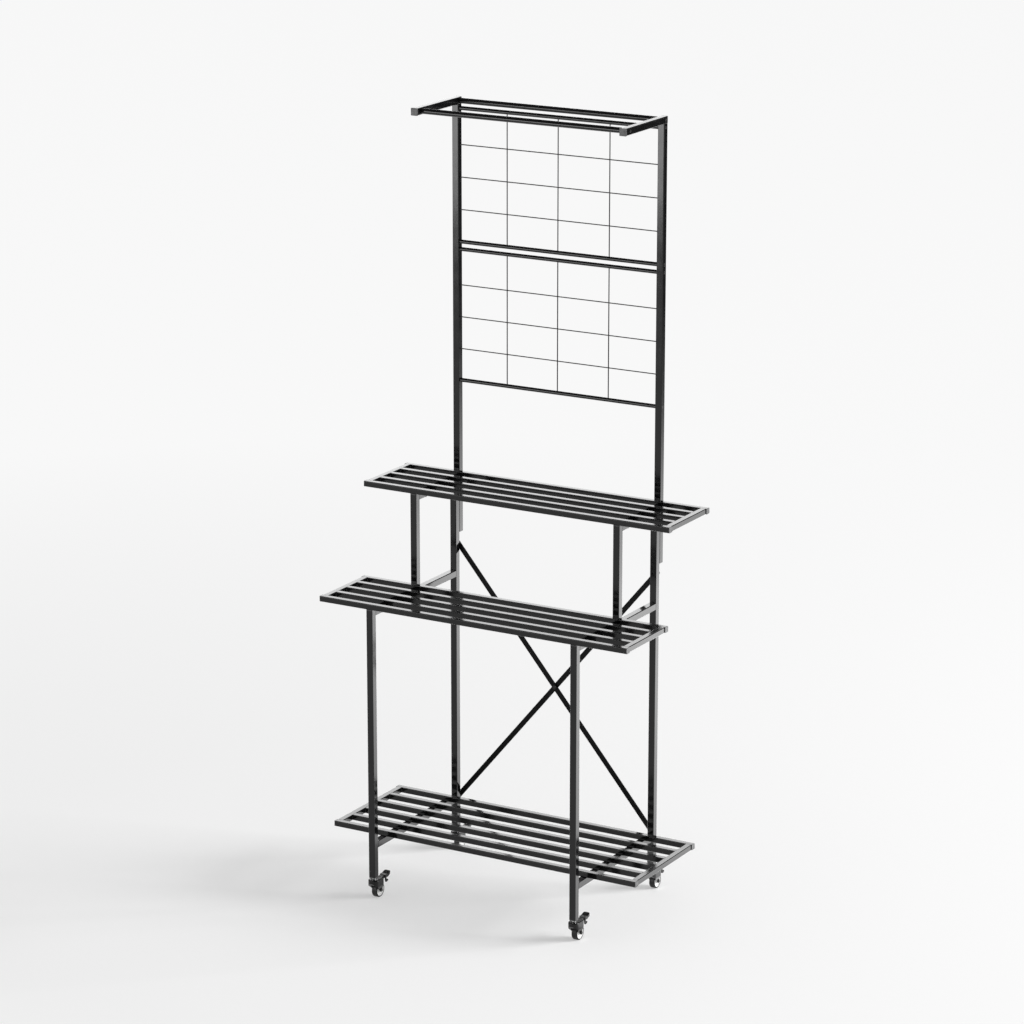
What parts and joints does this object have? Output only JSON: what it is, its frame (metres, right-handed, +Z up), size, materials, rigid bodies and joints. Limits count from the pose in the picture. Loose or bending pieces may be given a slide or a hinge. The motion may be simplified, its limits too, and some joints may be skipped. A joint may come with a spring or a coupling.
{
  "type": "plant stand",
  "caption": "Stepped rolling plant stand: slatted shelves on a square-tube frame, tall back with wire grid panels and a forward hanging rack, braked swivel castors.",
  "frame": {"origin": "on the floor under the middle of the whole footprint, castor pedals included", "axes": "+X along the shelves to the right seen from the front, +Y to the rear, +Z up"},
  "size_m": [0.78, 0.4366, 1.7805],
  "materials": {
    "frame_paint": "gloss black stove enamel",
    "plug_plastic": "moulded black plastic",
    "black_steel": "blackened screw steel",
    "zinc_steel": "bright zinc",
    "caster_plastic": "moulded black nylon",
    "pedal_plastic": "moulded black nylon, ribbed pad",
    "tyre_rubber": "smooth black tread",
    "hub_plastic": "moulded white plastic"
  },
  "bodies": {
    "frame": {"front_leg_left": "frame_paint", "front_leg_right": "frame_paint", "rear_leg_left": "frame_paint", "rear_leg_right": "frame_paint", "mid_post_left": "frame_paint", "mid_post_right": "frame_paint", "bottom_beam_left": "frame_paint", "bottom_beam_right": "frame_paint", "middle_beam_left": "frame_paint", "middle_beam_right": "frame_paint", "upper_beam_left": "frame_paint", "upper_beam_right": "frame_paint", "upright_left": "frame_paint", "upright_right": "frame_paint", "top_arm_left": "frame_paint", "top_arm_right": "frame_paint", "bottom_shelf": "frame_paint", "middle_shelf": "frame_paint", "upper_shelf": "frame_paint", "rack_bar_front": "frame_paint", "rack_bar_rear": "frame_paint", "grid_panel_upper": "frame_paint", "grid_panel_lower": "frame_paint", "brace_bar_a": "frame_paint", "brace_bar_b": "frame_paint", "shelf_end_plugs": "plug_plastic", "leg_top_plugs": "plug_plastic", "upright_foot_plugs": "plug_plastic", "arm_end_plugs": "plug_plastic", "leg_inserts": "plug_plastic", "brace_spacers": "black_steel", "brace_bolts": "black_steel", "shelf_bolts": "black_steel", "splice_bolts": "black_steel", "frame_screws": "black_steel", "caster_stems": "zinc_steel"},
    "front_left_swivel_body": {"front_left_fork": "caster_plastic", "front_left_pins": "black_steel"},
    "front_left_wheel": {"front_left_tyre": "tyre_rubber", "front_left_hub": "hub_plastic"},
    "front_left_brake": {"front_left_pedal": "pedal_plastic"},
    "front_right_swivel_body": {"front_right_fork": "caster_plastic", "front_right_pins": "black_steel"},
    "front_right_wheel": {"front_right_tyre": "tyre_rubber", "front_right_hub": "hub_plastic"},
    "front_right_brake": {"front_right_pedal": "pedal_plastic"},
    "rear_left_swivel_body": {"rear_left_fork": "caster_plastic", "rear_left_pins": "black_steel"},
    "rear_left_wheel": {"rear_left_tyre": "tyre_rubber", "rear_left_hub": "hub_plastic"},
    "rear_left_brake": {"rear_left_pedal": "pedal_plastic"},
    "rear_right_swivel_body": {"rear_right_fork": "caster_plastic", "rear_right_pins": "black_steel"},
    "rear_right_wheel": {"rear_right_tyre": "tyre_rubber", "rear_right_hub": "hub_plastic"},
    "rear_right_brake": {"rear_right_pedal": "pedal_plastic"}
  },
  "joints": [
    {"name": "front_left_swivel", "type": "hinge", "parent": "frame", "child": "front_left_swivel_body", "pos_m": [-0.2595, -0.20575, 0.052], "axis": [0, 0, 1], "continuous": true},
    {"name": "front_left_roll", "type": "hinge", "parent": "front_left_swivel_body", "child": "front_left_wheel", "pos_m": [-0.2595, -0.18825, 0.017], "axis": [1, 0, 0], "continuous": true},
    {"name": "front_left_brake_pedal", "type": "hinge", "parent": "front_left_swivel_body", "child": "front_left_brake", "pos_m": [-0.2595, -0.18775, 0.041], "axis": [-1, 0, 0], "range_deg": [0, 22]},
    {"name": "front_right_swivel", "type": "hinge", "parent": "frame", "child": "front_right_swivel_body", "pos_m": [0.2595, -0.20575, 0.052], "axis": [0, 0, 1], "continuous": true},
    {"name": "front_right_roll", "type": "hinge", "parent": "front_right_swivel_body", "child": "front_right_wheel", "pos_m": [0.2595, -0.18825, 0.017], "axis": [1, 0, 0], "continuous": true},
    {"name": "front_right_brake_pedal", "type": "hinge", "parent": "front_right_swivel_body", "child": "front_right_brake", "pos_m": [0.2595, -0.18775, 0.041], "axis": [-1, 0, 0], "range_deg": [0, 22]},
    {"name": "rear_left_swivel", "type": "hinge", "parent": "frame", "child": "rear_left_swivel_body", "pos_m": [-0.2595, 0.15825, 0.052], "axis": [0, 0, 1], "continuous": true},
    {"name": "rear_left_roll", "type": "hinge", "parent": "rear_left_swivel_body", "child": "rear_left_wheel", "pos_m": [-0.2595, 0.17575, 0.017], "axis": [1, 0, 0], "continuous": true},
    {"name": "rear_left_brake_pedal", "type": "hinge", "parent": "rear_left_swivel_body", "child": "rear_left_brake", "pos_m": [-0.2595, 0.17625, 0.041], "axis": [-1, 0, 0], "range_deg": [0, 22]},
    {"name": "rear_right_swivel", "type": "hinge", "parent": "frame", "child": "rear_right_swivel_body", "pos_m": [0.2595, 0.15825, 0.052], "axis": [0, 0, 1], "continuous": true},
    {"name": "rear_right_roll", "type": "hinge", "parent": "rear_right_swivel_body", "child": "rear_right_wheel", "pos_m": [0.2595, 0.17575, 0.017], "axis": [1, 0, 0], "continuous": true},
    {"name": "rear_right_brake_pedal", "type": "hinge", "parent": "rear_right_swivel_body", "child": "rear_right_brake", "pos_m": [0.2595, 0.17625, 0.041], "axis": [-1, 0, 0], "range_deg": [0, 22]}
  ]
}
